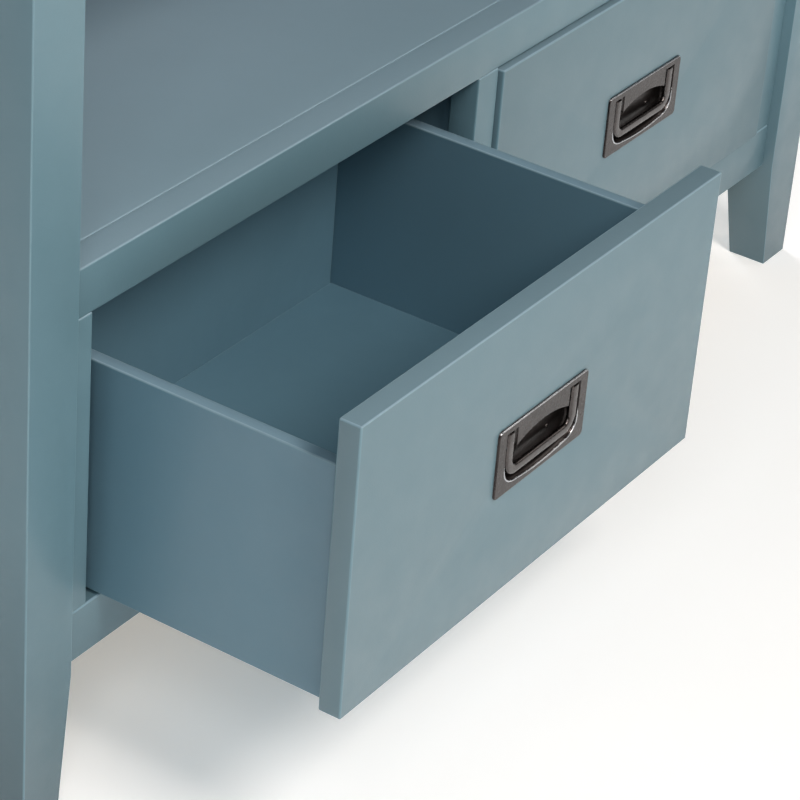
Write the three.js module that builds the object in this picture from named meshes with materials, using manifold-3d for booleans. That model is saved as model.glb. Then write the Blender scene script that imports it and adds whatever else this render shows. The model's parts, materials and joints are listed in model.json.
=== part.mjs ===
// Secretary desk: four posts with tapered feet, two inset drawers side by side at the bottom, an open
// compartment above them, and a fall-front writing compartment with pigeonholes at the top.
// Millimetres, +Z up. The front faces -Y. X = 0 is the middle of the desk, Z = 0 is the floor, and
// Y = 0 is the middle of the depth with the left drawer pulled out.

import * as THREE from 'three';
import { mergeVertices } from 'three/addons/utils/BufferGeometryUtils.js';
import Module from 'manifold-3d';

// ---- driving dimensions ----------------------------------------------------------------------------

const GAP = 0.3; // between a piece and the neighbour it is cut around

// Posts and the case between them. Depths are measured from the front plane of the rails.
const CASE_WIDTH = 1110;
const POST_TOP = 1180;
const POST_WIDTH = 50;
const POST_DEPTH = 48;
const POST_PROUD = 10; // the posts stand this far in front of the rails
const CASE_BACK = 380;
const FOOT_HEIGHT = 105;
const FOOT_TAPER = 11.5; // taken off the two inner faces at the floor
const TOP_THICK = 20;
const TOP_OVERHANG = 10;
const SIDE_THICK = 15;
const SIDE_INSET = 7;
const BACK_THICK = 5;

// Face frame around the drawers.
const RAIL_DEPTH = 24.5;
const BOTTOM_RAIL_HEIGHT = 42;
const MID_RAIL_HEIGHT = 37.5;
const OUTER_STILE = 26.8;
const CENTRE_STILE = 27.6;
const DIVIDER_THICK = 15;
const PANEL_THICK = 16;
const DUST_PANEL_THICK = 6;

// Drawers.
const DRAWER_GAP = 2.2; // beside a drawer front
const DRAWER_GAP_BELOW = 1.4;
const DRAWER_GAP_ABOVE = 3;
const DRAWER_PROUD = 3.8; // a shut drawer's front stands this far in front of the rails
const DRAWER_FRONT_HEIGHT = 229.5;
const BOARD = 18; // drawer fronts, desk floor and lid
const DRAWER_SIDE_INSET = 9.5;
const DRAWER_SIDE_THICK = 11;
const DRAWER_SIDE_BASE = 1.4; // from the front's lower edge up to the sides'
const DRAWER_SIDE_HEIGHT = 186;
const DRAWER_LENGTH = 332;
const DRAWER_FLOOR_TOP = 24.5;
const DRAWER_FLOOR_THICK = 4.5;
const LEFT_DRAWER_FRONT = -213.6; // the pulled-out drawer's front plane
const RUNNER_FENCE_HEIGHT = 22;
const RUNNER_FENCE_THICK = 9;
const RUNNER_PLATE = 14;
const RUNNER_CLEARANCE = 1.2;

// Fall front, its support bars and the pigeonholes.
const WRITING_HEIGHT = 755;
const LID_SIDE_GAP = 1.5;
const LID_TOP_GAP = 2;
const LID_PULL_DROP = 78; // from the lid's top edge to the middle of its pull
const PIN_RADIUS = 3;
const PIN_REACH = 9; // into the lid
const PIN_SEAT = 6.5; // into the post
const DESK_RAIL_HEIGHT = 55;
const BAR_WIDTH = 20;
const BAR_HEIGHT = 45;
const BAR_LENGTH = 340;
const BAR_CLEARANCE = 1.2;
const BAR_GUIDE_THICK = 12;
const KNOB_LENGTH = 15;
const KNOB_RADIUS = 8.5;
const ORGANISER_FRONT = 185;
const ORGANISER_HEIGHT = 180;
const ORGANISER_THICK = 12;
const ORGANISER_BAYS = 4;
const CATCH = { width: 46, depth: 13, height: 14 };
const STRIKE = { width: 36, thick: 1.2, height: 14 };

// Flush bail pulls. Heights are measured from the middle of the plate.
const PLATE = { width: 116, height: 55, radius: 4, proud: 1.8 };
const RECESS = { half: 47.7, top: 22, corner: 19, base: -23.5, belly: 2.5 };
const TAB = { half: 34, shoulder: 7, crown: 13.5 };
const CUP = { wall: 1.2, depth: 10.5, back: 1.2 };
const BAIL = { half: 46, arm: 8.6, barTop: -8.5, barBase: -16.2, front: -2.1, back: 2 };
const BAIL_CORNER = { outer: 14, inner: 6.5 };
const TRUNNION = { height: 15.5, depth: 2.4, boss: 3.1, radius: 1.2, reach: 1 };

// ---- derived levels --------------------------------------------------------------------------------

const halfCase = CASE_WIDTH / 2;
const postInner = halfCase - POST_WIDTH;
const sideOuter = halfCase - SIDE_INSET;
const sideInner = sideOuter - SIDE_THICK;
const frontPostBack = POST_DEPTH - POST_PROUD;
const backPostFront = CASE_BACK - POST_DEPTH;
const backPanelFront = CASE_BACK - 1 - BACK_THICK;
const backRailFront = backPanelFront - RAIL_DEPTH;
const openingBottom = FOOT_HEIGHT + BOTTOM_RAIL_HEIGHT;
const drawerBottom = openingBottom + DRAWER_GAP_BELOW;
const openingTop = drawerBottom + DRAWER_FRONT_HEIGHT + DRAWER_GAP_ABOVE;
const shelfTop = openingTop + MID_RAIL_HEIGHT;
const openingOuter = postInner - OUTER_STILE;
const openingInner = CENTRE_STILE / 2;
const drawerWidth = openingOuter - openingInner - 2 * DRAWER_GAP;
const drawerCentre = (openingOuter + openingInner) / 2;
const drawerSideBottom = drawerBottom + DRAWER_SIDE_BASE;
const dustPanelTop = drawerSideBottom - GAP - RUNNER_PLATE;
const deskFloorBottom = WRITING_HEIGHT - BOARD;
const pinY = BOARD / 2;
const pinZ = WRITING_HEIGHT - BOARD / 2;
const lidTop = POST_TOP - LID_TOP_GAP;
const lidSweep = (BOARD / 2) * Math.SQRT2 + 2 * GAP; // clears the lid's square corner as it turns
const deskFloorFront = pinY + lidSweep;
const barTop = deskFloorBottom - 0.5;
const barInner = postInner - LID_SIDE_GAP - BAR_WIDTH;
const topPanelBack = CASE_BACK + 2;
const originShift = -(LEFT_DRAWER_FRONT + BAIL.front + topPanelBack) / 2;

// ---- solids ----------------------------------------------------------------------------------------

const wasm = await Module();
wasm.setup();

function toSolid(geometry) {
  const bare = geometry.clone();
  bare.deleteAttribute('normal');
  bare.deleteAttribute('uv');
  const merged = mergeVertices(bare, 1e-4);
  return new wasm.Manifold(
    new wasm.Mesh({
      numProp: 3,
      vertProperties: new Float32Array(merged.attributes.position.array),
      triVerts: new Uint32Array(merged.index.array),
    }),
  );
}

function toGeometry(solid) {
  const mesh = solid.getMesh();
  const geometry = new THREE.BufferGeometry();
  geometry.setAttribute('position', new THREE.BufferAttribute(mesh.vertProperties, 3));
  geometry.setIndex(new THREE.BufferAttribute(mesh.triVerts, 1));
  geometry.computeVertexNormals();
  return geometry;
}

function cut(geometry, ...tools) {
  return toGeometry(tools.reduce((solid, tool) => solid.subtract(toSolid(tool)), toSolid(geometry)));
}

function join(geometry, ...others) {
  return toGeometry(others.reduce((solid, other) => solid.add(toSolid(other)), toSolid(geometry)));
}

// Sets the two ends of a shape along one axis to exact limits, so that neighbours meet without overlap.
function setEnds(geometry, axis, low, high) {
  geometry.computeBoundingBox();
  const { min, max } = geometry.boundingBox;
  const middle = (min.getComponent(axis) + max.getComponent(axis)) / 2;
  const position = geometry.attributes.position;
  for (let i = 0; i < position.count; i += 1) {
    position.setComponent(i, axis, position.getComponent(i, axis) < middle ? low : high);
  }
  return geometry;
}

// A board given by its low and high limits along X, Y and Z.
function board(...limits) {
  const geometry = new THREE.BoxGeometry(1, 1, 1);
  limits.forEach(([low, high], axis) => setEnds(geometry, axis, low, high));
  return geometry;
}

// A round bar along X.
function barAlongX(radius, x0, x1, y, z, segments = 24) {
  const geometry = new THREE.CylinderGeometry(radius, radius, x1 - x0, segments);
  geometry.rotateZ(Math.PI / 2);
  geometry.translate((x0 + x1) / 2, y, z);
  return geometry;
}

function extrude(shape, curveSegments) {
  return new THREE.ExtrudeGeometry(shape, { depth: 1, bevelEnabled: false, curveSegments });
}

// An outline in X and Z drawn out along Y from y0 to y1.
function extrudeBack(shape, y0, y1, curveSegments = 8) {
  return setEnds(extrude(shape, curveSegments).rotateX(Math.PI / 2), 1, y0, y1);
}

// An outline in X and Y raised along Z from z0 to z1.
function extrudeUp(shape, z0, z1) {
  return setEnds(extrude(shape, 1), 2, z0, z1);
}

// An outline in Y and Z drawn out along X from x0 to x1.
function extrudeAcross(shape, x0, x1, curveSegments = 8) {
  return setEnds(extrude(shape, curveSegments).rotateY(Math.PI / 2).rotateX(Math.PI / 2), 0, x0, x1);
}

function outline(points) {
  return new THREE.Shape(points.map(([u, v]) => new THREE.Vector2(u, v)));
}

// ---- materials -------------------------------------------------------------------------------------

const paint = { color: 0x7d949b, roughness: 0.42, metalness: 0 };
const insidePaint = { color: 0x70868e, roughness: 0.5, metalness: 0 };
const bareWood = { color: 0xb59a74, roughness: 0.7, metalness: 0 };
const pewter = { color: 0x5b5552, roughness: 0.34, metalness: 0.9 };
const darkPewter = { color: 0x2c2a2a, roughness: 0.5, metalness: 0.85 };
const steel = { color: 0x9a9ca0, roughness: 0.35, metalness: 0.9 };
const brownPlastic = { color: 0x4b3a2e, roughness: 0.55, metalness: 0 };

const desk = new THREE.Group();

function add(name, geometry, finish, group = desk) {
  const mesh = new THREE.Mesh(geometry, new THREE.MeshStandardMaterial(finish));
  mesh.name = name;
  group.add(mesh);
  return mesh;
}

const SIDES = [['left', -1], ['right', 1]];

// Orders two X limits that have been mirrored to one side of the desk.
function spanX(sign, a, b) {
  return sign < 0 ? [-b, -a] : [a, b];
}

// ---- posts -----------------------------------------------------------------------------------------

// A square post whose two inner faces slope in below the case. The middle ring of vertices is set at
// the foot's height and the bottom ring is drawn in.
function post(sign, y0, innerY) {
  const [x0, x1] = spanX(sign, postInner, halfCase);
  const y1 = y0 + POST_DEPTH;
  const geometry = new THREE.BoxGeometry(POST_WIDTH, POST_DEPTH, POST_TOP, 1, 1, 2);
  const position = geometry.attributes.position;
  const innerX = sign < 0 ? x1 : x0;
  for (let i = 0; i < position.count; i += 1) {
    const x = position.getX(i) < 0 ? x0 : x1;
    const y = position.getY(i) < 0 ? y0 : y1;
    const ring = Math.sign(Math.round(position.getZ(i)));
    const height = [0, FOOT_HEIGHT, POST_TOP][ring + 1];
    const tapered = ring < 0 ? FOOT_TAPER : 0;
    const moveX = x === innerX ? sign * tapered : 0;
    const moveY = y === innerY ? Math.sign(y0 + y1 - 2 * innerY) * tapered : 0;
    position.setXYZ(i, x + moveX, y + moveY, height);
  }
  return geometry;
}

for (const [side, sign] of SIDES) {
  const seatSpan = spanX(sign, postInner - 1, postInner + PIN_SEAT + GAP);
  const seat = barAlongX(PIN_RADIUS + GAP, ...seatSpan, pinY, pinZ);
  add(`post_front_${side}`, cut(post(sign, -POST_PROUD, frontPostBack), seat), paint);
  add(`post_back_${side}`, post(sign, backPostFront, backPostFront), paint);
}

// ---- case panels -----------------------------------------------------------------------------------

// A flat panel between the side panels, notched around the posts it meets.
function notchedPanel(y0, y1, reach = sideInner) {
  const inner = postInner - GAP;
  const front = frontPostBack + GAP;
  const back = backPostFront - GAP;
  const right = [];
  if (y0 < front) {
    right.push([inner, y0], [inner, front], [reach, front]);
  } else {
    right.push([reach, y0]);
  }
  if (y1 > back) {
    right.push([reach, back], [inner, back], [inner, y1]);
  } else {
    right.push([reach, y1]);
  }
  const left = right.map(([x, y]) => [-x, y]).reverse();
  return outline([...right, ...left]);
}

const panelBack = backPanelFront - GAP;

for (const [side, sign] of SIDES) {
  const across = spanX(sign, sideInner + GAP, sideOuter);
  add(`side_panel_${side}`, board(across, [frontPostBack, backPostFront], [FOOT_HEIGHT, POST_TOP]), paint);
}
add('back_panel', board([-postInner, postInner], [backPanelFront, backPanelFront + BACK_THICK],
  [FOOT_HEIGHT, POST_TOP]), insidePaint);
add('shelf_panel', extrudeUp(notchedPanel(RAIL_DEPTH, panelBack), shelfTop - PANEL_THICK, shelfTop), paint);
add('dust_panel', extrudeUp(notchedPanel(RAIL_DEPTH + GAP, backRailFront - GAP),
  dustPanelTop - DUST_PANEL_THICK, dustPanelTop), bareWood);
add('desk_floor', extrudeUp(notchedPanel(deskFloorFront, panelBack), deskFloorBottom, WRITING_HEIGHT), paint);
add('top_panel', board([-halfCase - TOP_OVERHANG, halfCase + TOP_OVERHANG],
  [-POST_PROUD - TOP_OVERHANG, topPanelBack], [POST_TOP, POST_TOP + TOP_THICK]), paint);

// ---- face frame ------------------------------------------------------------------------------------

const railX = [-postInner, postInner];
const frame = [0, RAIL_DEPTH];
const openingZ = [openingBottom, openingTop];
add('rail_bottom_front', board(railX, frame, [FOOT_HEIGHT, openingBottom]), paint);
add('rail_bottom_back', board(railX, [backRailFront, backPanelFront - GAP],
  [FOOT_HEIGHT, openingBottom]), paint);
add('rail_middle', board(railX, frame, [openingTop, shelfTop]), paint);
for (const [side, sign] of SIDES) {
  add(`stile_${side}`, board(spanX(sign, openingOuter, postInner), frame, openingZ), paint);
}
add('stile_centre', board([-openingInner, openingInner], frame, openingZ), paint);
add('drawer_divider', board([-DIVIDER_THICK / 2, DIVIDER_THICK / 2], [RAIL_DEPTH, backRailFront - GAP],
  [dustPanelTop + GAP, shelfTop - PANEL_THICK - GAP]), insidePaint);

// The rail under the lid has an open slot at each end for a support bar.
function deskRail() {
  const top = deskFloorBottom - 2;
  const base = top - DESK_RAIL_HEIGHT;
  const slotInner = barInner - BAR_CLEARANCE;
  const slotBase = barTop - BAR_HEIGHT - BAR_CLEARANCE;
  const slotOuter = postInner - GAP;
  const right = [[slotOuter, base], [slotOuter, slotBase], [slotInner, slotBase], [slotInner, top]];
  const left = right.map(([x, z]) => [-x, z]).reverse();
  return extrudeBack(outline([...right, ...left]), 0, deskFloorFront);
}

add('rail_desk', deskRail(), paint);

// ---- flush pulls -----------------------------------------------------------------------------------

// Rounded rectangle centred on the origin.
function roundedRect(width, height, radius) {
  const x = width / 2;
  const z = height / 2;
  const shape = new THREE.Shape();
  shape.moveTo(-x + radius, -z);
  shape.lineTo(x - radius, -z);
  shape.absarc(x - radius, -z + radius, radius, -Math.PI / 2, 0);
  shape.absarc(x - radius, z - radius, radius, 0, Math.PI / 2);
  shape.absarc(-x + radius, z - radius, radius, Math.PI / 2, Math.PI);
  shape.absarc(-x + radius, -z + radius, radius, Math.PI, Math.PI * 1.5);
  return shape;
}

// The recess is square at the top and belly-shaped below, grown all round by a margin.
function recessOutline(margin) {
  const half = RECESS.half + margin;
  const top = RECESS.top + margin;
  const base = RECESS.base - margin;
  const corner = RECESS.corner;
  const shape = new THREE.Shape();
  shape.moveTo(-half, top);
  shape.lineTo(-half, base + corner);
  shape.quadraticCurveTo(-half, base + RECESS.belly, -half + corner, base + RECESS.belly);
  shape.quadraticCurveTo(0, base - RECESS.belly / 2, half - corner, base + RECESS.belly);
  shape.quadraticCurveTo(half, base + RECESS.belly, half, base + corner);
  shape.lineTo(half, top);
  shape.closePath();
  return shape;
}

// The tongue of plate that hangs between the bail's arms, with an arched lower edge.
function tabOutline() {
  const shape = new THREE.Shape();
  shape.moveTo(-TAB.half, RECESS.top + 1);
  shape.lineTo(-TAB.half, TAB.shoulder);
  shape.quadraticCurveTo(0, 2 * TAB.crown - TAB.shoulder, TAB.half, TAB.shoulder);
  shape.lineTo(TAB.half, RECESS.top + 1);
  shape.closePath();
  return shape;
}

function plateGeometry() {
  const back = -GAP / 3;
  const sheet = extrudeBack(roundedRect(PLATE.width, PLATE.height, PLATE.radius), -PLATE.proud, back, 5);
  const window = extrudeBack(recessOutline(0), -PLATE.proud - 1, back + 1);
  const tab = extrudeBack(tabOutline(), -PLATE.proud, back);
  return join(cut(sheet, window), tab);
}

function cupGeometry() {
  const shell = extrudeBack(recessOutline(CUP.wall + GAP), 0, CUP.depth);
  const hollow = extrudeBack(recessOutline(GAP), -1, CUP.depth - CUP.back);
  const reach = RECESS.half + CUP.wall + 1;
  const bearing = barAlongX(TRUNNION.radius + GAP, -reach, reach, TRUNNION.depth, TRUNNION.height, 12);
  return cut(shell, hollow, bearing);
}

function bailOutline() {
  const { half, barTop, barBase } = BAIL;
  const { outer, inner } = BAIL_CORNER;
  const innerX = half - BAIL.arm;
  const top = TRUNNION.height + TRUNNION.boss;
  const shape = new THREE.Shape();
  shape.moveTo(-half, top);
  shape.lineTo(-half, barBase + outer);
  shape.absarc(-half + outer, barBase + outer, outer, Math.PI, Math.PI * 1.5);
  shape.absarc(half - outer, barBase + outer, outer, -Math.PI / 2, 0);
  shape.lineTo(half, top);
  shape.lineTo(innerX, top);
  shape.lineTo(innerX, barTop + inner);
  shape.absarc(innerX - inner, barTop + inner, inner, 0, -Math.PI / 2, true);
  shape.absarc(-innerX + inner, barTop + inner, inner, -Math.PI / 2, -Math.PI, true);
  shape.lineTo(-innerX, top);
  shape.closePath();
  return shape;
}

function bailGeometry() {
  const loop = extrudeBack(bailOutline(), BAIL.front, BAIL.back, 6);
  const innerX = BAIL.half - BAIL.arm;
  const reach = RECESS.half + TRUNNION.reach;
  const { boss, radius, depth, height } = TRUNNION;
  const fittings = SIDES.flatMap(([, sign]) => [
    barAlongX(boss, ...spanX(sign, innerX + GAP, BAIL.half - GAP), depth, height, 16),
    barAlongX(radius, ...spanX(sign, innerX + 1, reach), depth, height, 12),
  ]);
  return join(loop, ...fittings);
}

// The mortise behind a pull, cut into the board whose front plane is y.
function pullMortise(x, y, z) {
  const pocket = extrudeBack(recessOutline(CUP.wall + 2 * GAP), -1, CUP.depth + GAP);
  pocket.translate(x, y, z);
  return pocket;
}

function addPull(label, x, y, z) {
  const pull = new THREE.Group();
  pull.position.set(x, y, z);
  desk.add(pull);
  add(`pull_plate_${label}`, plateGeometry(), pewter, pull);
  add(`pull_cup_${label}`, cupGeometry(), darkPewter, pull);
  add(`pull_bail_${label}`, bailGeometry(), pewter, pull);
}

// ---- drawers and their runners ---------------------------------------------------------------------

function addDrawer(side, sign, y) {
  const centre = sign * drawerCentre;
  const front = [centre - drawerWidth / 2, centre + drawerWidth / 2];
  const z = drawerBottom;
  const outerX = drawerWidth / 2 - DRAWER_SIDE_INSET;
  const innerX = outerX - DRAWER_SIDE_THICK;
  const boxY = [y + BOARD, y + DRAWER_LENGTH];
  const boxZ = [z + DRAWER_SIDE_BASE, z + DRAWER_SIDE_BASE + DRAWER_SIDE_HEIGHT];
  const pullZ = z + DRAWER_FRONT_HEIGHT / 2;
  const faceBoard = board(front, [y, y + BOARD], [z, z + DRAWER_FRONT_HEIGHT]);
  add(`drawer_${side}_front`, cut(faceBoard, pullMortise(centre, y, pullZ)), paint);
  add(`drawer_${side}_side_a`, board([centre - outerX, centre - innerX], boxY, boxZ), paint);
  add(`drawer_${side}_side_b`, board([centre + innerX, centre + outerX], boxY, boxZ), paint);
  add(`drawer_${side}_back`, board([centre - innerX, centre + innerX],
    [y + DRAWER_LENGTH - DRAWER_SIDE_THICK, y + DRAWER_LENGTH], boxZ), paint);
  add(`drawer_${side}_floor`, board([centre - innerX, centre + innerX],
    [y + BOARD, y + DRAWER_LENGTH - DRAWER_SIDE_THICK],
    [z + DRAWER_FLOOR_TOP - DRAWER_FLOOR_THICK, z + DRAWER_FLOOR_TOP]), paint);
  addPull(`drawer_${side}`, centre, y, pullZ);
}

addDrawer('left', -1, LEFT_DRAWER_FRONT);
addDrawer('right', 1, -DRAWER_PROUD);

// Each drawer side runs on an L-shaped runner whose fence keeps the drawer straight.
function runnerOutline(x, outward) {
  const fence = x + outward * RUNNER_CLEARANCE;
  const fenceOuter = fence + outward * RUNNER_FENCE_THICK;
  const plateInner = x - outward * (DRAWER_SIDE_THICK + RUNNER_PLATE);
  const top = drawerSideBottom - GAP;
  const points = [
    [plateInner, dustPanelTop + GAP],
    [fenceOuter, dustPanelTop + GAP],
    [fenceOuter, top + RUNNER_FENCE_HEIGHT],
    [fence, top + RUNNER_FENCE_HEIGHT],
    [fence, top],
    [plateInner, top],
  ];
  return outline(outward < 0 ? points.reverse() : points);
}

const runnerY = [RAIL_DEPTH + GAP, backRailFront - GAP];
for (const [side, sign] of SIDES) {
  const outerFace = sign * (drawerCentre + drawerWidth / 2 - DRAWER_SIDE_INSET);
  const innerFace = sign * (drawerCentre - drawerWidth / 2 + DRAWER_SIDE_INSET);
  add(`runner_${side}_outer`, extrudeBack(runnerOutline(outerFace, sign), ...runnerY), bareWood);
  add(`runner_${side}_inner`, extrudeBack(runnerOutline(innerFace, -sign), ...runnerY), bareWood);
}

// ---- fall front ------------------------------------------------------------------------------------

// The lid's outer lower edge is rounded about the pins, so it turns down without touching the rail.
function lidGeometry() {
  const shape = new THREE.Shape();
  shape.moveTo(pinY, deskFloorBottom);
  shape.lineTo(BOARD, deskFloorBottom);
  shape.lineTo(BOARD, lidTop);
  shape.lineTo(0, lidTop);
  shape.lineTo(0, pinZ);
  shape.absarc(pinY, pinZ, BOARD / 2, Math.PI, Math.PI * 1.5);
  const halfLid = postInner - LID_SIDE_GAP;
  const slab = extrudeAcross(shape, -halfLid, halfLid);
  const seats = SIDES.map(([, sign]) =>
    barAlongX(PIN_RADIUS + GAP, ...spanX(sign, postInner - PIN_REACH - GAP, halfLid + 1), pinY, pinZ));
  return cut(slab, ...seats, pullMortise(0, 0, lidTop - LID_PULL_DROP));
}

add('lid', lidGeometry(), paint);
for (const [side, sign] of SIDES) {
  const span = spanX(sign, postInner - PIN_REACH, postInner + PIN_SEAT);
  add(`lid_pin_${side}`, barAlongX(PIN_RADIUS, ...span, pinY, pinZ), steel);
}
addPull('lid', 0, 0, lidTop - LID_PULL_DROP);

const strikeTop = lidTop - 2;
const strikeBack = BOARD + STRIKE.thick;
const catchTop = POST_TOP - GAP;
const catchFront = strikeBack + 2 * GAP;
add('lid_strike', board([-STRIKE.width / 2, STRIKE.width / 2], [BOARD, strikeBack],
  [strikeTop - STRIKE.height, strikeTop]), steel);
add('lid_catch', board([-CATCH.width / 2, CATCH.width / 2], [catchFront, catchFront + CATCH.depth],
  [catchTop - CATCH.height, catchTop]), brownPlastic);

// ---- lid support bars ------------------------------------------------------------------------------

// A small turned knob: a waisted neck that swells to a domed head.
function knobGeometry(x, z) {
  const profile = [
    [0, 0],
    [0.54, 0],
    [0.47, 0.33],
    [0.82, 0.57],
    [1, 0.73],
    [0.76, 0.93],
    [0, 1],
  ].map(([r, y]) => new THREE.Vector2(r * KNOB_RADIUS, y * KNOB_LENGTH));
  const geometry = new THREE.LatheGeometry(profile, 24);
  geometry.rotateX(Math.PI);
  geometry.translate(x, 0, z);
  return geometry;
}

// The guide carries the bar from below and holds it against the post.
function barGuideOutline(sign) {
  const guideInner = barInner - BAR_CLEARANCE - BAR_GUIDE_THICK;
  const fence = barInner - BAR_CLEARANCE;
  const plateTop = barTop - BAR_HEIGHT - GAP;
  const points = [
    [guideInner, plateTop - BAR_GUIDE_THICK],
    [postInner - GAP, plateTop - BAR_GUIDE_THICK],
    [postInner - GAP, plateTop],
    [fence, plateTop],
    [fence, deskFloorBottom - GAP],
    [guideInner, deskFloorBottom - GAP],
  ];
  return outline(sign < 0 ? points.map(([x, z]) => [-x, z]).reverse() : points);
}

for (const [side, sign] of SIDES) {
  const across = spanX(sign, barInner, barInner + BAR_WIDTH);
  const knob = knobGeometry(sign * (barInner + BAR_WIDTH / 2), barTop - BAR_HEIGHT / 2);
  add(`support_bar_${side}`, board(across, [0, BAR_LENGTH], [barTop - BAR_HEIGHT, barTop]), paint);
  add(`support_knob_${side}`, knob, pewter);
  add(`support_guide_${side}`, extrudeBack(barGuideOutline(sign), deskFloorFront + GAP, panelBack), bareWood);
}

// ---- pigeonholes -----------------------------------------------------------------------------------

const shelfBase = WRITING_HEIGHT + ORGANISER_HEIGHT;
const organiserOutline = notchedPanel(ORGANISER_FRONT, panelBack);
add('organiser_shelf', extrudeUp(organiserOutline, shelfBase, shelfBase + ORGANISER_THICK), paint);
for (let i = 1; i < ORGANISER_BAYS; i += 1) {
  const x = -sideInner + (2 * sideInner * i) / ORGANISER_BAYS;
  add(`organiser_divider_${i}`, board([x - ORGANISER_THICK / 2, x + ORGANISER_THICK / 2],
    [ORGANISER_FRONT, panelBack], [WRITING_HEIGHT, shelfBase]), paint);
}

desk.position.y = originShift;

export default desk;
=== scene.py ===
"""Secretary desk: the looks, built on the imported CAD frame. Metres, +Z up, the front faces -Y."""

import json
import math

import bpy
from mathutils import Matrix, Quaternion, Vector
from mathutils.geometry import tessellate_polygon


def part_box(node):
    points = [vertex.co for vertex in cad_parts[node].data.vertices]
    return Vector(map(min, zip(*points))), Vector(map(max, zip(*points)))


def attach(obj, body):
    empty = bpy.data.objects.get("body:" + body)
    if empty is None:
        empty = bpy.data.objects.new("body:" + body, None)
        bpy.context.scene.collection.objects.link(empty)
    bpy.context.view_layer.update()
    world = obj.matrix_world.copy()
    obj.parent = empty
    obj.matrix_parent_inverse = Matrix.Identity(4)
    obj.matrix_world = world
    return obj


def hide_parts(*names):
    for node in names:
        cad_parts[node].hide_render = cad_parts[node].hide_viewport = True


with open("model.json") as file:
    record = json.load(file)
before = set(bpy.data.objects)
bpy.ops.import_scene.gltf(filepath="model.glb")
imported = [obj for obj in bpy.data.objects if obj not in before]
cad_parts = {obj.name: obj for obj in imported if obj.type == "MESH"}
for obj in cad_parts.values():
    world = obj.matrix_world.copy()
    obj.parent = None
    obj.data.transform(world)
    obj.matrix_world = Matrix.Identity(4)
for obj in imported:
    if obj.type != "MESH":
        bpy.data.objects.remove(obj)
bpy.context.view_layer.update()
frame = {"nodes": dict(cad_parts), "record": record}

MM = 0.001


# ---- camera, light and floor -------------------------------------------------------------------------

VIEW_AZIMUTH = math.radians(-58.16)
VIEW_ELEVATION = math.radians(31.49)
VIEW_ROLL = math.radians(4.73)
VIEW_DISTANCE = 2.0608
VIEW_INSET = Vector((42.25, 0, 0.64)) * MM  # from the open drawer front's upper left corner
LENS = 146.04

AIM = (-0.15, -0.15, 0.38)
AIM_BEHIND = (0.0, 0.2, 0.6)
WARM = (1.09, 1.0, 0.93)
NEUTRAL = (1.0, 1.0, 1.0)
WORLD_STRENGTH = 0.12
FLOOR_HALF = 9.0

# name, place, aim, side of the square lamp, power in watts, colour
LIGHTS = (
    ("front", (-0.7, -2.25, 2.75), AIM, 1.0, 60, WARM),
    ("low", (-0.8, -3.0, 1.3), AIM, 1.0, 10, WARM),
    ("right", (2.6, -2.4, 2.6), AIM, 1.2, 15, WARM),
    ("left", (-2.2, -2.2, 2.4), AIM, 1.0, 4, NEUTRAL),
    ("near", (-1.9, -1.1, 1.9), AIM, 0.8, 12, NEUTRAL),
    ("behind", (1.6, 2.9, 2.4), AIM_BEHIND, 1.6, 60, NEUTRAL),
)


def add_camera():
    low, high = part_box("drawer_left_front")
    target = Vector((low.x, low.y, high.z)) + VIEW_INSET
    back = Vector((
        math.sin(VIEW_AZIMUTH) * math.cos(VIEW_ELEVATION),
        -math.cos(VIEW_AZIMUTH) * math.cos(VIEW_ELEVATION),
        math.sin(VIEW_ELEVATION),
    ))
    data = bpy.data.cameras.new("camera")
    data.lens = LENS
    data.clip_start = 0.05
    data.clip_end = 60
    camera = bpy.data.objects.new("camera", data)
    bpy.context.scene.collection.objects.link(camera)
    camera.rotation_mode = "QUATERNION"
    camera.location = target + back * VIEW_DISTANCE
    level = (-back).to_track_quat("-Z", "Y")
    camera.rotation_quaternion = Quaternion(back, VIEW_ROLL) @ level
    bpy.context.scene.camera = camera


def add_area_light(name, place, aim, side, power, colour):
    data = bpy.data.lights.new(name, "AREA")
    data.shape = "RECTANGLE"
    data.size = side
    data.size_y = side
    data.energy = power
    data.color = colour
    light = bpy.data.objects.new(name, data)
    bpy.context.scene.collection.objects.link(light)
    light.location = place
    light.visible_camera = False
    light.rotation_mode = "QUATERNION"
    light.rotation_quaternion = (Vector(aim) - Vector(place)).to_track_quat("-Z", "Y")


def add_world():
    world = bpy.data.worlds.new("studio")
    world.use_nodes = True
    background = world.node_tree.nodes["Background"]
    background.inputs["Color"].default_value = (1, 1, 1, 1)
    background.inputs["Strength"].default_value = WORLD_STRENGTH
    bpy.context.scene.world = world


def add_floor():
    half = FLOOR_HALF
    corners = [(-half, -half, 0), (half, -half, 0), (half, half, 0), (-half, half, 0)]
    mesh = bpy.data.meshes.new("floor")
    mesh.from_pydata(corners, [], [(0, 1, 2, 3)])
    mesh.materials.append(floor_material())
    floor = bpy.data.objects.new("floor", mesh)
    bpy.context.scene.collection.objects.link(floor)


# ---- node materials ----------------------------------------------------------------------------------


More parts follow.
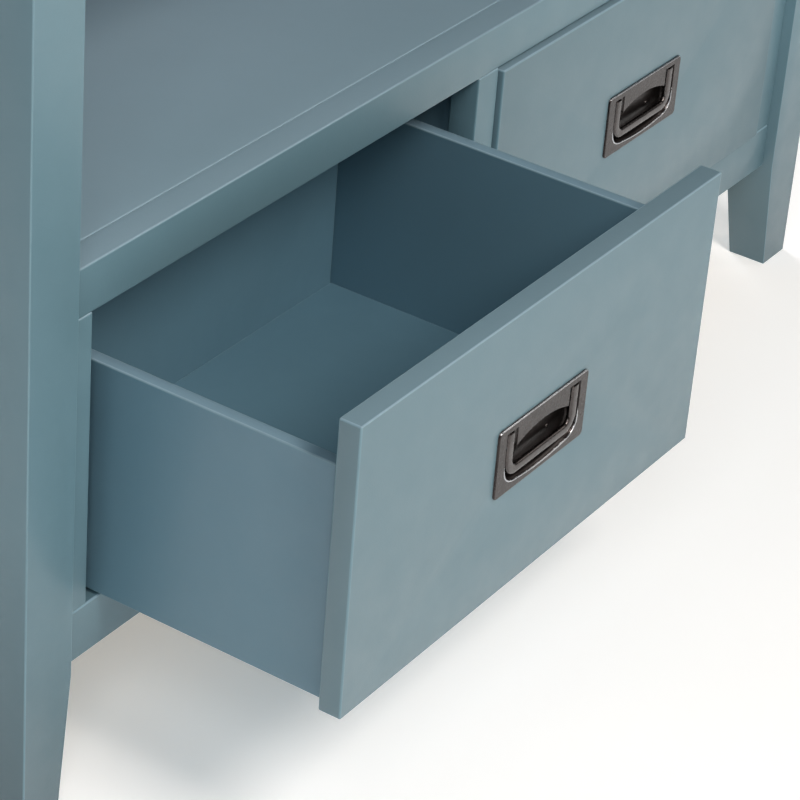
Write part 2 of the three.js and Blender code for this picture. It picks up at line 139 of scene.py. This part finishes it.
class Nodes:
    """A material's node tree, with short calls for the nodes used here."""

    def __init__(self, name):
        self.material = bpy.data.materials.new(name)
        self.material.use_nodes = True
        self.tree = self.material.node_tree
        self.shader = self.tree.nodes["Principled BSDF"]
        self.place = self.new("ShaderNodeTexCoord").outputs["Object"]

    def new(self, kind):
        return self.tree.nodes.new(kind)

    def link(self, output, socket):
        self.tree.links.new(output, socket)

    def drive(self, output, name):
        self.link(output, self.shader.inputs[name])

    def set(self, **values):
        for key, value in values.items():
            self.shader.inputs[key.replace("_", " ")].default_value = value

    def stretched(self, scale):
        node = self.new("ShaderNodeMapping")
        self.link(self.place, node.inputs["Vector"])
        node.inputs["Scale"].default_value = scale
        return node.outputs["Vector"]

    def noise(self, scale, detail=2.0, vector=None, rough=0.5):
        node = self.new("ShaderNodeTexNoise")
        node.inputs["Scale"].default_value = scale
        node.inputs["Detail"].default_value = detail
        node.inputs["Roughness"].default_value = rough
        self.link(vector or self.place, node.inputs["Vector"])
        return node.outputs["Fac"]

    def ramp(self, value, stops):
        node = self.new("ShaderNodeValToRGB")
        elements = node.color_ramp.elements
        while len(elements) < len(stops):
            elements.new(0.5)
        for element, (position, colour) in zip(elements, stops):
            element.position = position
            element.color = (*colour, 1)
        self.link(value, node.inputs["Fac"])
        return node.outputs["Color"]

    def span(self, value, low, high, start=0.3, end=0.7):
        """A value that runs from low to high while the given one runs from start to end."""
        node = self.new("ShaderNodeMapRange")
        node.inputs["From Min"].default_value = start
        node.inputs["From Max"].default_value = end
        node.inputs["To Min"].default_value = low
        node.inputs["To Max"].default_value = high
        self.link(value, node.inputs["Value"])
        return node.outputs["Result"]

    def part_of(self, vector, axis):
        node = self.new("ShaderNodeSeparateXYZ")
        self.link(vector, node.inputs["Vector"])
        return node.outputs[axis]

    def product(self, first, second):
        """Two values multiplied, kept between 0 and 1."""
        node = self.new("ShaderNodeMath")
        node.operation = "MULTIPLY"
        node.use_clamp = True
        self.link(first, node.inputs[0])
        self.link(second, node.inputs[1])
        return node.outputs["Value"]

    def lit_from_above(self, colour, amount, further=1.0):
        """The colour mixed towards a pale tint on faces that look up, more in some places than in others:
        painted light on the top faces.

        Further is how much more of this painted light lies at the back of the shelf than at the front.
        """
        facing_up = self.part_of(self.new("ShaderNodeNewGeometry").outputs["Normal"], "Z")
        patches = self.span(self.noise(4.0, detail=3.0), amount * 0.94, amount * 1.06)
        shelf_low, shelf_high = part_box("shelf_panel")
        back_gain = self.span(self.part_of(self.place, "Y"), 1.0, further, shelf_low.y, shelf_high.y)
        mix = self.new("ShaderNodeMix")
        mix.data_type = "RGBA"
        self.link(self.product(self.product(facing_up, patches), back_gain), mix.inputs["Factor"])
        self.link(colour, mix.inputs["A"])
        mix.inputs["B"].default_value = (*TOP_LIGHT_COLOUR, 1)
        return mix.outputs["Result"]

    def shaded_low(self, colour, shade):
        """The colour, darkened by the given factor at the floor and less with height: painted shade near
        the floor.
        """
        node = self.new("ShaderNodeVectorMath")
        node.operation = "SCALE"
        self.link(colour, node.inputs["Vector"])
        lighter_up = self.span(self.part_of(self.place, "Z"), shade, 1.0, 0.0, SHADE_HEIGHT)
        self.link(lighter_up, node.inputs["Scale"])
        return node.outputs["Vector"]

    def bump(self, height, distance, under=None):
        node = self.new("ShaderNodeBump")
        node.inputs["Distance"].default_value = distance
        self.link(height, node.inputs["Height"])
        if under is not None:
            self.link(under, node.inputs["Normal"])
        return node.outputs["Normal"]


def tint(colour, factor):
    return tuple(min(1.0, c * factor) for c in colour)


def floor_material():
    n = Nodes("floor")
    n.drive(n.ramp(n.noise(3.0), [(0.3, (0.93, 0.93, 0.93)), (0.7, (0.95, 0.95, 0.95))]), "Base Color")
    n.set(Roughness=0.9, Specular_IOR_Level=0.1, Emission_Color=(0.92, 0.98, 1, 1), Emission_Strength=0.26)
    return n.material


def paint_material(name, colour, top_light=0.0, further=1.0, shade=1.0, roughness=0.5):
    """Sprayed satin paint: a slow drift of tone, a fine orange-peel skin and an uneven sheen.

    The amount right after the colour paints pale light on the faces that look up, a painted light. A shade
    under 1 darkens the paint near the floor, a painted shade.
    """
    n = Nodes(name)
    drift = n.noise(2.6, detail=4.0, rough=0.6)
    tone = n.ramp(drift, [(0.3, tint(colour, 0.98)), (0.7, tint(colour, 1.02))])
    if top_light:
        tone = n.lit_from_above(tone, top_light, further)
    if shade < 1:
        tone = n.shaded_low(tone, shade)
    n.drive(tone, "Base Color")
    n.drive(n.span(n.noise(34.0, detail=3.0), roughness - 0.05, roughness + 0.05), "Roughness")
    peel = n.bump(n.noise(620.0, detail=1.0), 0.06 * MM)
    n.drive(n.bump(n.noise(75.0), 0.05 * MM, under=peel), "Normal")
    n.set(Specular_IOR_Level=0.7, Coat_Weight=0.2, Coat_Roughness=0.2)
    return n.material


def wood_material(name, pale, dark):
    """Planed bare wood with its grain from front to back."""
    n = Nodes(name)
    grain = n.noise(1.0, detail=6.0, vector=n.stretched((55.0, 3.0, 55.0)), rough=0.62)
    pore = n.noise(1.0, vector=n.stretched((900.0, 30.0, 900.0)))
    n.drive(n.ramp(grain, [(0.28, dark), (0.5, tint(pale, 0.9)), (0.72, pale)]), "Base Color")
    n.drive(n.span(pore, 0.55, 0.78), "Roughness")
    n.drive(n.bump(pore, 0.08 * MM), "Normal")
    return n.material


def metal_material(name, dark, bright, smoothest, roughest):
    """Plated metal with a mottled tone, an uneven polish and fine handling marks."""
    n = Nodes(name)
    n.drive(n.ramp(n.noise(60.0, detail=5.0, rough=0.65), [(0.32, dark), (0.68, bright)]), "Base Color")
    n.drive(n.span(n.noise(260.0, detail=3.0), smoothest, roughest), "Roughness")
    n.drive(n.bump(n.noise(330.0, detail=3.0), 0.05 * MM), "Normal")
    n.set(Metallic=1.0, Coat_Weight=0.3, Coat_Roughness=0.16)
    return n.material


def plastic_material(name, colour):
    n = Nodes(name)
    tone = n.noise(90.0, detail=3.0)
    n.drive(n.ramp(tone, [(0.3, tint(colour, 0.9)), (0.7, tint(colour, 1.1))]), "Base Color")
    n.drive(n.span(n.noise(700.0), 0.45, 0.6), "Roughness")
    n.drive(n.bump(n.noise(900.0), 0.05 * MM), "Normal")
    return n.material


# Linear colours, and the height up to which the paint near the floor is darker, a painted shade.
PAINT = (0.116, 0.218, 0.265)
# Drawer fronts take a greyer copy of the paint, tuned to their lit tone: a lit copy of one paint.
FRONT_PAINT = (0.115, 0.202, 0.242)
# Drawer insides and sides, and the inside panels, take bluer copies of the paint, tuned to the bluer hue of
# their shade: painted shade.
DRAWER_PAINT = (0.106, 0.215, 0.282)
INSIDE_PAINT = (0.104, 0.203, 0.264)
# The pale tint of the painted light on faces that look up.
TOP_LIGHT_COLOUR = (0.40, 0.53, 0.64)
SHADE_HEIGHT = 0.25
MATERIALS = {
    # The case paint darkens towards the floor: painted shade on its lower parts.
    "paint": paint_material("paint", PAINT, shade=0.62),
    # Paints with a top light amount carry painted light on the faces that look up. It is strongest on the
    # shelf and middle rail and grows towards the shelf's back.
    "top_lit_paint": paint_material("top_lit_paint", PAINT, top_light=0.40, further=1.9),
    "top_lit_front_paint": paint_material("top_lit_front_paint", FRONT_PAINT, top_light=0.18),
    "drawer_paint": paint_material("drawer_paint", DRAWER_PAINT),
    "top_lit_drawer_paint": paint_material("top_lit_drawer_paint", DRAWER_PAINT, top_light=0.26),
    "inside_paint": paint_material("inside_paint", INSIDE_PAINT),
    # Paler, glossier paint with strong painted top light on the rounded edges: a painted highlight along
    # the edges.
    "edge_highlight_paint": paint_material("edge_highlight_paint", tint(PAINT, 1.12), top_light=0.5, roughness=0.36),
    "bare_wood": wood_material("bare_wood", (0.52, 0.38, 0.23), (0.36, 0.24, 0.13)),
    "pewter": metal_material("pewter", (0.06, 0.053, 0.052), (0.1, 0.09, 0.088), 0.2, 0.32),
    "plate": metal_material("plate", (0.031, 0.026, 0.0255), (0.049, 0.0415, 0.0405), 0.22, 0.36),
    # A bright metal used as a painted highlight on the plate's top edge and along the recess bead.
    "highlight_metal": metal_material("highlight_metal", (0.42, 0.43, 0.45), (0.6, 0.62, 0.65), 0.22, 0.3),
    "dark_pewter": metal_material("dark_pewter", (0.025, 0.021, 0.02), (0.05, 0.043, 0.042), 0.42, 0.56),
    "steel": metal_material("steel", (0.46, 0.46, 0.47), (0.6, 0.6, 0.62), 0.24, 0.36),
    "brown_plastic": plastic_material("brown_plastic", (0.09, 0.06, 0.045)),
}


# ---- carried-over CAD nodes --------------------------------------------------------------------------


def smooth_group():
    """A geometry node group that marks every face as smooth, so that rounded edges shade evenly."""
    group = bpy.data.node_groups.new("shade_smooth", "GeometryNodeTree")
    group.interface.new_socket("Geometry", in_out="INPUT", socket_type="NodeSocketGeometry")
    group.interface.new_socket("Geometry", in_out="OUTPUT", socket_type="NodeSocketGeometry")
    entry = group.nodes.new("NodeGroupInput")
    smooth = group.nodes.new("GeometryNodeSetShadeSmooth")
    leave = group.nodes.new("NodeGroupOutput")
    group.links.new(entry.outputs[0], smooth.inputs["Geometry"])
    group.links.new(smooth.outputs["Geometry"], leave.inputs[0])
    return group


SMOOTH = smooth_group()


OWN_MATERIAL = -1
EDGE_MATERIAL = 1
SHARP_ANGLE = math.radians(30)
FLAT_ANGLE = math.radians(0.5)


def ease_edges(obj, width, material):
    """Rounds an object's sharp edges with modifiers, leaving its own mesh alone.

    The rounded edges take the material with the given index.
    """
    weld = obj.modifiers.new("weld", "WELD")
    weld.merge_threshold = 0.005 * MM
    flat = obj.modifiers.new("flat", "DECIMATE")
    flat.decimate_type = "DISSOLVE"
    flat.angle_limit = FLAT_ANGLE
    smooth = obj.modifiers.new("smooth", "NODES")
    smooth.node_group = SMOOTH
    bevel = obj.modifiers.new("bevel", "BEVEL")
    bevel.width = width
    bevel.segments = 3
    bevel.limit_method = "ANGLE"
    bevel.angle_limit = SHARP_ANGLE
    bevel.harden_normals = True
    bevel.material = material


THIN_PANELS = ("back_panel", "dust_panel", "drawer_left_floor", "drawer_right_floor")
METAL_SLOTS = ("steel", "pewter", "dark_pewter")
# Parts that take the strongest painted light on their faces that look up.
TOP_LIT_PARTS = ("shelf_panel", "rail_middle")
DRAWER_FRONTS = ("drawer_left_front", "drawer_right_front")
DRAWER_SIDES = ("_side_a", "_side_b")
DRAWER_INSIDES = ("drawer_left_back", "drawer_right_back", "drawer_left_floor", "drawer_right_floor")


def material_name(name, slot):
    """The material that a node takes, which for some nodes is a variant of its slot's own: a copy with
    painted light on its top faces, or the drawers' bluer copy, tuned to the hue of their shade.
    """
    if name in TOP_LIT_PARTS:
        return "top_lit_paint"
    if name in DRAWER_FRONTS:
        return "top_lit_front_paint"
    if name.endswith(DRAWER_SIDES):
        return "top_lit_drawer_paint"
    return "drawer_paint" if name in DRAWER_INSIDES else slot


def edge_width(name, slot):
    if slot in METAL_SLOTS:
        return 0.45 * MM
    if name in THIN_PANELS:
        return 0.6 * MM
    return 1.3 * MM


def dress_nodes():
    slots = {row["node"]: row["material_slot"] for row in frame["record"]["subparts"]}
    for name, obj in frame["nodes"].items():
        obj.data.materials.clear()
        obj.data.materials.append(MATERIALS[material_name(name, slots[name])])
        painted = slots[name] == "paint"
        # Painted parts take a second, paler material on their rounded edges, a painted highlight.
        if painted:
            obj.data.materials.append(MATERIALS["edge_highlight_paint"])
        ease_edges(obj, edge_width(name, slots[name]), EDGE_MATERIAL if painted else OWN_MATERIAL)


# ---- mesh helpers ------------------------------------------------------------------------------------


def add_piece(name, body, slot, points, faces, flat=(), highlit=(), material=None):
    """A new piece from points in metres, riding on a body.

    Faces are smooth but for the flat ones, and the faces of the second set take a bright metal, a painted
    highlight.
    """
    mesh = bpy.data.meshes.new(name)
    mesh.from_pydata([tuple(p) for p in points], [], faces)
    mesh.materials.append(MATERIALS[material or slot])
    if highlit:
        mesh.materials.append(MATERIALS["highlight_metal"])
    for polygon in mesh.polygons:
        polygon.use_smooth = polygon.index not in flat
        polygon.material_index = 1 if polygon.index in highlit else 0
    piece = bpy.data.objects.new(name, mesh)
    bpy.context.scene.collection.objects.link(piece)
    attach(piece, body)
    return piece


def loft(rings, first=0, closed_start=True, closed_end=True):
    """Faces between rings that have the same number of points, with flat caps on the two ends."""
    count = len(rings[0])
    faces = []
    for r in range(len(rings) - 1):
        for i in range(count):
            j = (i + 1) % count
            a, b = first + r * count, first + (r + 1) * count
            faces.append((a + i, a + j, b + j, b + i))
    if closed_start:
        faces.append(tuple(first + i for i in reversed(range(count))))
    if closed_end:
        last = first + (len(rings) - 1) * count
        faces.append(tuple(last + i for i in range(count)))
    return faces


def arc(cx, cy, radius, start, end, steps):
    angles = [math.radians(start + (end - start) * i / steps) for i in range(steps + 1)]
    return [(cx + radius * math.cos(a), cy + radius * math.sin(a)) for a in angles]


def line(start, end, steps):
    return [tuple(a + (b - a) * i / steps for a, b in zip(start, end)) for i in range(steps + 1)]


def curve(start, pull, end, steps):
    """A quadratic curve from start to end, bent towards the pull point. Start itself is left out."""
    points = []
    for i in range(1, steps + 1):
        t = i / steps
        shares = ((1 - t) ** 2, 2 * t * (1 - t), t * t)
        points.append(tuple(sum(k * v for k, v in zip(shares, values)) for values in zip(start, pull, end)))
    return points


# ---- flush bail pulls --------------------------------------------------------------------------------

# Millimetres from the middle of the plate: x to the right, z up, y into the board.
PLATE_HALF, PLATE_TALL, PLATE_CORNER, PLATE_FRONT = 58.0, 27.5, 4.0, -1.8
PLATE_ROUND, WINDOW_ROUND = 0.9, 0.6
RECESS_HALF, RECESS_TOP, RECESS_BASE, RECESS_CORNER, RECESS_BELLY = 47.7, 22.0, -23.5, 19.0, 2.5
TAB_HALF, TAB_SHOULDER, TAB_CROWN = 34.0, 7.0, 13.5
CUP_WALL, CUP_DEPTH, CUP_FLOOR, CUP_ROUND = 1.2, 9.2, 8.0, 3.6
CUP_MARGIN, CUP_START = 0.3, 0.1
BEAD_RADIUS, BEAD_Y, BEAD_TOP = 0.75, -1.4, 5.0
BAIL_HALF, BAIL_ARM, BAIL_FRONT, BAIL_BACK, BAIL_ROUND = 46.0, 8.6, -2.1, 2.0, 2.0
BAR_TOP, BAR_BASE, OUTER_CORNER, INNER_CORNER, ARM_TOP = -8.5, -16.2, 14.0, 6.5, 20.6
PIVOT_Y, PIVOT_Z, BOSS, TRUNNION, TRUNNION_REACH = 2.4, 15.5, 3.1, 1.2, 0.8
SCREW_X, SCREW_Z = 22.0, -7.5

# Screw heads, as (distance along the axis, radius), from the rim over the head into its socket.
CUP_SCREW = [(0.0, 2.1), (-0.4, 2.05), (-0.8, 1.7), (-1.0, 1.2), (-1.05, 0.9), (-0.5, 0.6), (-0.4, 0.2)]
PANEL_SCREW = [(-0.2, 2.6), (0.35, 2.5), (0.75, 1.9), (0.85, 1.1), (0.4, 0.7), (0.35, 0.2)]

# An arm's rounded top, as (share of the arm's width, distance below the top).
ARM_CLOSING = ((1.0, 0.6), (0.98, 0.25), (0.93, 0.06), (0.86, 0.0))


def bail_section(width, steps=4):
    """The bail's rounded section, as (share of the width, y)."""
    r = min(BAIL_ROUND, (BAIL_BACK - BAIL_FRONT) / 2, width / 2)
    left, right = r, width - r
    front, back = BAIL_FRONT + r, BAIL_BACK - r
    corners = [(left, front, 180), (right, front, 270), (right, back, 0), (left, back, 90)]
    points = [p for cx, cy, start in corners for p in arc(cx, cy, r, start, start + 90, steps)]
    return [(u / width, y) for u, y in points]


def bail_edges():
    """The bail's outer and inner edges, point for point, from the left arm's top round to the right's."""
    inner = BAIL_HALF - BAIL_ARM

    def edge(x, base, corner):
        left_arm = line((-x, PIVOT_Z), (-x, base + corner), 5)
        left_arc = arc(-x + corner, base + corner, corner, 180, 270, 10)
        bar = line((-x + corner, base), (x - corner, base), 8)
        right_arc = arc(x - corner, base + corner, corner, 270, 360, 10)
        right_arm = line((x, base + corner), (x, PIVOT_Z), 5)
        return left_arm + left_arc[1:] + bar[1:] + right_arc[1:] + right_arm[1:]

    return edge(BAIL_HALF, BAR_BASE, OUTER_CORNER), edge(inner, BAR_TOP, INNER_CORNER)


def arm_end(ring, shrink, drop):
    """A copy of an arm's last ring, drawn in a little and moved up to the arm's top."""
    cx = sum(p[0] for p in ring) / len(ring)
    cy = sum(p[1] for p in ring) / len(ring)
    return [(cx + (x - cx) * shrink, cy + (y - cy) * shrink, ARM_TOP - drop) for x, y, z in ring]


def bail_rings():
    """The bail from one arm's top round to the other's."""
    rings = []
    for (ox, oz), (ix, iz) in zip(*bail_edges()):
        width = math.hypot(ix - ox, iz - oz)
        rings.append([(ox + (ix - ox) * u, y, oz + (iz - oz) * u) for u, y in bail_section(width)])
    start = [arm_end(rings[0], shrink, drop) for shrink, drop in reversed(ARM_CLOSING)]
    end = [arm_end(rings[-1], shrink, drop) for shrink, drop in ARM_CLOSING]
    return start + rings + end


def turned(profile, place, axis, steps=28):
    """Rings of a turned form. The profile lists (distance along the axis, radius)."""
    rings = []
    for along, radius in profile:
        ring = []
        for i in range(steps):
            a = 2 * math.pi * i / steps
            u, v = radius * math.cos(a), radius * math.sin(a)
            offset = {"x": (along, u, v), "y": (u, along, -v)}[axis]
            ring.append(tuple(p + o for p, o in zip(place, offset)))
        rings.append(ring)
    return rings


def boss_rings(sign):
    """One arm's rounded boss and the trunnion that stands out of it."""
    inner = BAIL_HALF - BAIL_ARM + 0.3
    outer = BAIL_HALF - 0.3
    reach = RECESS_HALF + TRUNNION_REACH
    profile = [
        (inner, BOSS - 0.9),
        (inner + 0.4, BOSS - 0.2),
        (inner + 1.1, BOSS),
        (outer - 1.1, BOSS),
        (outer - 0.4, BOSS - 0.2),
        (outer, BOSS - 0.9),
        (outer, TRUNNION),
        (reach - 0.3, TRUNNION),
        (reach, TRUNNION - 0.3),
    ]
    return turned([(sign * along, radius) for along, radius in profile], (0, PIVOT_Y, PIVOT_Z), "x")


def recess_edge(margin, drawn_in=0.0, steps=12):
    """The recess outline with a margin outside it, drawn in towards its middle by drawn_in."""
    half, top = RECESS_HALF + margin, RECESS_TOP + margin
    base = RECESS_BASE - margin
    low = base + RECESS_BELLY
    left_low, right_low = (-half + RECESS_CORNER, low), (half - RECESS_CORNER, low)
    points = [(-half, top)]
    points += line((-half, top), (-half, base + RECESS_CORNER), 4)[1:]
    points += curve((-half, base + RECESS_CORNER), (-half, low), left_low, steps)
    points += curve(left_low, (0, base - RECESS_BELLY / 2), right_low, steps)
    points += curve(right_low, (half, low), (half, base + RECESS_CORNER), steps)
    points += line((half, base + RECESS_CORNER), (half, top), 4)[1:]
    points += line((half, top), (-half, top), 10)[1:-1]
    mid_z = (top + base) / 2
    kx = 1 - drawn_in / half
    kz = 1 - drawn_in / (top - mid_z)
    return [(x * kx, mid_z + (z - mid_z) * kz) for x, z in points]


def window_edge():
    """The plate's window: the recess outline with the tab standing down into it from the top."""
    recess = [p for p in recess_edge(0.0) if p[1] < RECESS_TOP or abs(p[0]) == RECESS_HALF]
    tab = [(TAB_HALF, RECESS_TOP), (TAB_HALF, TAB_SHOULDER + 5), (TAB_HALF, TAB_SHOULDER)]
    steps = 14
    for i in range(1, steps):
        t = i / steps
        x = TAB_HALF * (1 - 2 * t)
        tab.append((x, TAB_SHOULDER + 4 * t * (1 - t) * (TAB_CROWN - TAB_SHOULDER)))
    tab += [(-TAB_HALF, TAB_SHOULDER), (-TAB_HALF, TAB_SHOULDER + 5), (-TAB_HALF, RECESS_TOP)]
    return recess + tab


def widened(edge, amount):
    """An anticlockwise outline moved outwards by an amount."""
    result = []
    for i, (x, z) in enumerate(edge):
        (ax, az), (bx, bz) = edge[i - 1], edge[(i + 1) % len(edge)]
        first = Vector((z - az, ax - x)).normalized()
        second = Vector((bz - z, x - bx)).normalized()
        mean = (first + second).normalized()
        reach = amount / max(0.5, mean.dot(first))
        result.append((x + mean.x * reach, z + mean.y * reach))
    return result


def plate_edge(inset):
    half, tall, corner = PLATE_HALF - inset, PLATE_TALL - inset, PLATE_CORNER - inset
    corners = [(1, -1, -90), (1, 1, 0), (-1, 1, 90), (-1, -1, 180)]
    points = []
    for sx, sz, start in corners:
        points += arc(sx * (half - corner), sz * (tall - corner), corner, start, start + 90, 8)
    return points


def plate_rings(back, steps=4):
    """The plate's outer edge from its back to its face, and the window's from the face to the back."""
    turns = [math.radians(90 * i / steps) for i in range(steps + 1)]
    window = window_edge()
    outer = [[(x, back, z) for x, z in plate_edge(0)]]
    for a in turns:
        inset = PLATE_ROUND * (1 - math.cos(a))
        y = PLATE_FRONT + PLATE_ROUND * (1 - math.sin(a))
        outer.append([(x, y, z) for x, z in plate_edge(inset)])
    inner = []
    for a in reversed(turns):
        grow = WINDOW_ROUND * (1 - math.cos(a))
        y = PLATE_FRONT + WINDOW_ROUND * (1 - math.sin(a))
        inner.append([(x, y, z) for x, z in widened(window, grow)])
    inner.append([(x, back, z) for x, z in window])
    return outer, inner


def ring_faces(rim, hole, rim_start, hole_start):
    """Triangles between a rim and the hole in it. The starts are their first points' numbers."""
    numbers = [rim_start + i for i in range(len(rim))] + [hole_start + i for i in range(len(hole))]
    outlines = [[Vector((x, z, 0)) for x, y, z in ring] for ring in (rim, hole)]
    return [tuple(numbers[i] for i in corners) for corners in tessellate_polygon(outlines)]


def add_plate(label, centre, back):
    """The face plate, with softly rounded edges round the outside and round the window."""
    outer, inner = plate_rings(back)
    points = [centre + Vector(p) * MM for ring in outer + inner for p in ring]
    corner_count = len(outer[0])
    inner_first = len(outer) * corner_count
    faces = loft(outer, closed_start=False, closed_end=False)
    # Only the rounded top edge takes the bright metal, a painted highlight where light from above catches
    # it.
    top_edge = centre.z + (PLATE_TALL - PLATE_ROUND - 0.1) * MM
    highlit = {i for i in range(corner_count, len(faces)) if points[faces[i][0]].z > top_edge}
    faces += loft(inner, first=inner_first, closed_start=False, closed_end=False)
    flat_first = len(faces)
    faces += ring_faces(outer[-1], inner[0], inner_first - corner_count, inner_first)
    faces += ring_faces(outer[0], inner[-1], 0, len(points) - len(inner[0]))
    flat = set(range(flat_first, len(faces)))
    piece = add_piece(f"plate_{label}", label, "pewter", points, faces, flat, highlit, "plate")
    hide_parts(f"pull_plate_{label}")


def cup_rings():
    """A pressed dish: down the inside from the rim to the floor, then back up the outside."""
    bend = [math.radians(90 * i / 6) for i in range(7)]
    outer = CUP_MARGIN + CUP_WALL
    inside = [[(x, CUP_START, z) for x, z in recess_edge(CUP_MARGIN)]]
    for a in bend:
        drawn = CUP_ROUND * (1 - math.cos(a))
        depth = CUP_FLOOR - CUP_ROUND + CUP_ROUND * math.sin(a)
        inside.append([(x, depth, z) for x, z in recess_edge(CUP_MARGIN, drawn)])
    outside = [[(x, CUP_DEPTH, z) for x, z in recess_edge(outer, CUP_ROUND + CUP_WALL)]]
    outside += [[(x, CUP_FLOOR - CUP_ROUND, z) for x, z in recess_edge(outer)]]
    outside += [[(x, CUP_START, z) for x, z in recess_edge(outer)]]
    return inside, outside


def bead_rings(steps=12):
    """A rolled bead round the sides and bottom of the recess, fading out at its two ends."""
    path = [p for p in recess_edge(CUP_MARGIN) if p[1] < BEAD_TOP]
    rings = []
    for i, (x, z) in enumerate(path):
        ahead, behind = path[min(i + 1, len(path) - 1)], path[max(i - 1, 0)]
        tx, tz = ahead[0] - behind[0], ahead[1] - behind[1]
        length = math.hypot(tx, tz)
        nx, nz = tz / length, -tx / length
        radius = BEAD_RADIUS * min(1.0, 0.25 + 0.25 * min(i, len(path) - 1 - i))
        ring = []
        for k in range(steps):
            a = 2 * math.pi * k / steps
            out, forward = radius * math.cos(a), radius * math.sin(a)
            ring.append((x + nx * out, BEAD_Y + forward, z + nz * out))
        rings.append(ring)
    return rings


def add_lofts(name, body, slot, centre, lofts, material=None):
    """One piece from several lofts, whose points are millimetres from the pull's centre."""
    points, faces = [], []
    for rings in lofts:
        faces += loft(rings, first=len(points))
        points += [centre + Vector(p) * MM for ring in rings for p in ring]
    return add_piece(name, body, slot, points, faces, material=material)


def add_cup(label, centre):
    inside, outside = cup_rings()
    rings = list(reversed(inside)) + list(reversed(outside))
    piece = add_lofts(f"cup_{label}", label, "dark_pewter", centre, [rings])
    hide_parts(f"pull_cup_{label}")


def add_bail(label, centre):
    lofts = [bail_rings(), boss_rings(-1), boss_rings(1)]
    piece = add_lofts(f"bail_{label}", f"bail_{label}", "pewter", centre, lofts)
    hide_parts(f"pull_bail_{label}")


def add_cup_screws(label, centre):
    lofts = [turned(CUP_SCREW, (x, CUP_FLOOR, SCREW_Z), "y", 20) for x in (-SCREW_X, SCREW_X)]
    add_lofts(f"screws_{label}", label, "pewter", centre, lofts)


def add_pull(label):
    """A whole pull. Its label is the name of the body that it is set in."""
    low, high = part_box(f"pull_plate_{label}")
    board = label if label == "lid" else f"{label}_front"
    centre = Vector(((low.x + high.x) / 2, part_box(board)[0].y, (low.z + high.z) / 2))
    add_cup(label, centre)
    add_bail(label, centre)
    add_cup_screws(label, centre)
    # The bead takes the bright metal, a painted highlight along the recess lip.
    add_lofts(f"rim_{label}", label, "pewter", centre, [bead_rings()], "highlight_metal")
    add_plate(label, centre, (high.y - centre.y) / MM)


# ---- small fixings -----------------------------------------------------------------------------------

PANEL_MARGIN = 12 * MM


def add_back_screws():
    """Small pan-head screws round the edge of the back panel."""
    low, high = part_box("back_panel")
    xs = [low.x + PANEL_MARGIN + (high.x - low.x - 2 * PANEL_MARGIN) * i / 6 for i in range(7)]
    zs = [low.z + PANEL_MARGIN + (high.z - low.z - 2 * PANEL_MARGIN) * i / 6 for i in range(7)]
    spots = [(x, z) for x in xs for z in (zs[0], zs[-1])]
    spots += [(x, z) for z in zs[1:-1] for x in (xs[0], xs[-1])]
    lofts = [turned(PANEL_SCREW, (x / MM, high.y / MM, z / MM), "y", 16) for x, z in spots]
    add_lofts("back_screws", "case", "steel", Vector((0, 0, 0)), lofts)


# ---- put together ------------------------------------------------------------------------------------

dress_nodes()
for label in ("drawer_left", "drawer_right", "lid"):
    add_pull(label)
add_back_screws()

add_floor()
add_world()
for light in LIGHTS:
    add_area_light(*light)
add_camera()
bpy.context.scene.view_settings.view_transform = "Standard"
